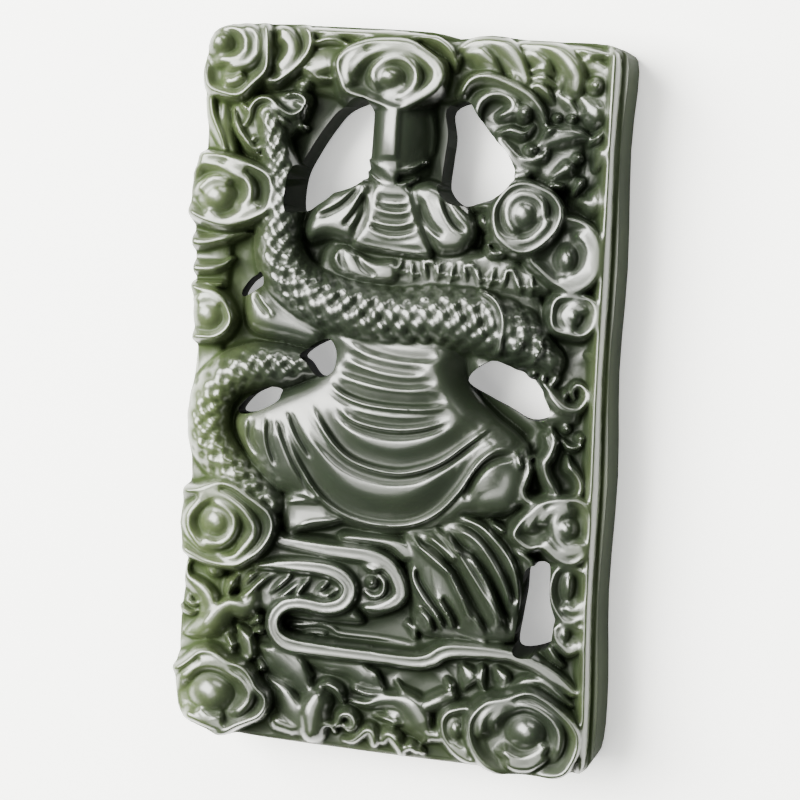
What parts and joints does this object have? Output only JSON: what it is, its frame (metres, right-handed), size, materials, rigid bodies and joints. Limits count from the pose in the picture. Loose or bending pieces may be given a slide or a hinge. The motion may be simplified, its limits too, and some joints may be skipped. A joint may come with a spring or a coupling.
{
  "type": "jade pendant",
  "caption": "Carved and pierced rectangular jade plaque pendant: a seated figure seen from behind, a dragon across it, cloud scrolls, rocks and water.",
  "frame": {"origin": "centre of the plaque's box, on the plane its hidden front rests on", "axes": "+Y along the plaque towards the end with the head and the gaps beside it, +X to the plain rim side as the carved back is seen, +Z out of the carved back"},
  "size_m": [0.038, 0.063, 0.0091],
  "materials": {
    "jade": "polished dark green nephrite, lighter where thin"
  },
  "bodies": {
    "root": {"pendant": "jade"}
  },
  "joints": []
}
